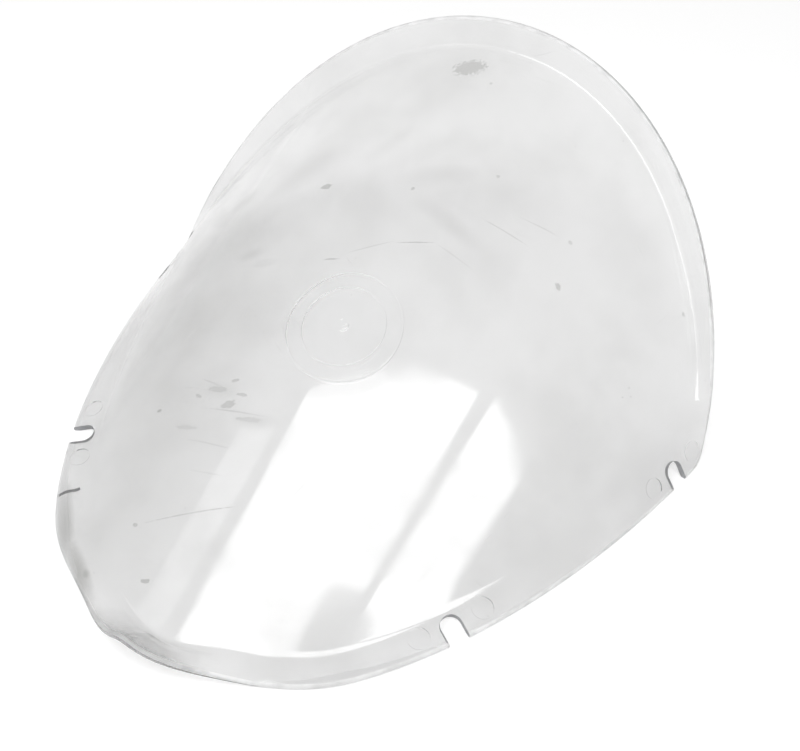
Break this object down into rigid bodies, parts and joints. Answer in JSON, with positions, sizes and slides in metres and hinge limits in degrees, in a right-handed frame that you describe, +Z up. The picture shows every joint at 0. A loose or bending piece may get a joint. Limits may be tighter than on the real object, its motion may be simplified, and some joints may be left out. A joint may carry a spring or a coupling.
{
  "type": "moped windscreen",
  "caption": "Clear one-piece moped windscreen: a tilted curved face with a turned-out rim, open bolt notches and a turned-up chin.",
  "frame": {"origin": "centre of the bounding box in plan, on the plane that the lower rim stands on", "axes": "+Z up out of the convex face, +Y towards the top lip, the chin points to -Y, X across; the mirror plane is X = 0"},
  "size_m": [0.315, 0.3288, 0.142],
  "materials": {
    "clear_plastic": "gloss"
  },
  "bodies": {
    "root": {"windscreen": "clear_plastic"}
  },
  "joints": []
}
